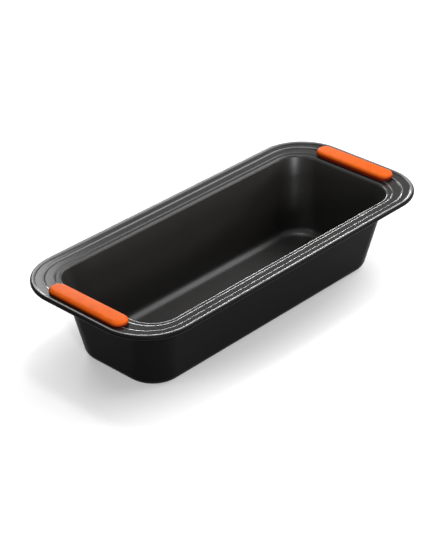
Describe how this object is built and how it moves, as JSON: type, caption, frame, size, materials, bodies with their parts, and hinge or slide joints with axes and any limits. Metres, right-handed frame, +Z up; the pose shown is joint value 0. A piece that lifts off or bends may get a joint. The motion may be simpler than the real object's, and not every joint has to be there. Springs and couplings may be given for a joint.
{
  "type": "loaf pan",
  "caption": "Long non-stick steel loaf pan with leaning walls, a stepped flange rolled round a wire, and a silicone grip on the flange at each end.",
  "frame": {"origin": "middle of the underside of the flat floor", "axes": "+X along the pan towards the right grip, +Y across the pan, +Z up out of the mouth"},
  "size_m": [0.35, 0.1536, 0.0755],
  "materials": {
    "coated_steel": "dark grey non-stick coating, satin with fine grain",
    "rim_steel": "plain drawn wire",
    "grip_silicone": "matte orange silicone"
  },
  "bodies": {
    "root": {"pan_shell": "coated_steel", "rim_wire": "rim_steel", "left_grip": "grip_silicone", "right_grip": "grip_silicone"}
  },
  "joints": []
}
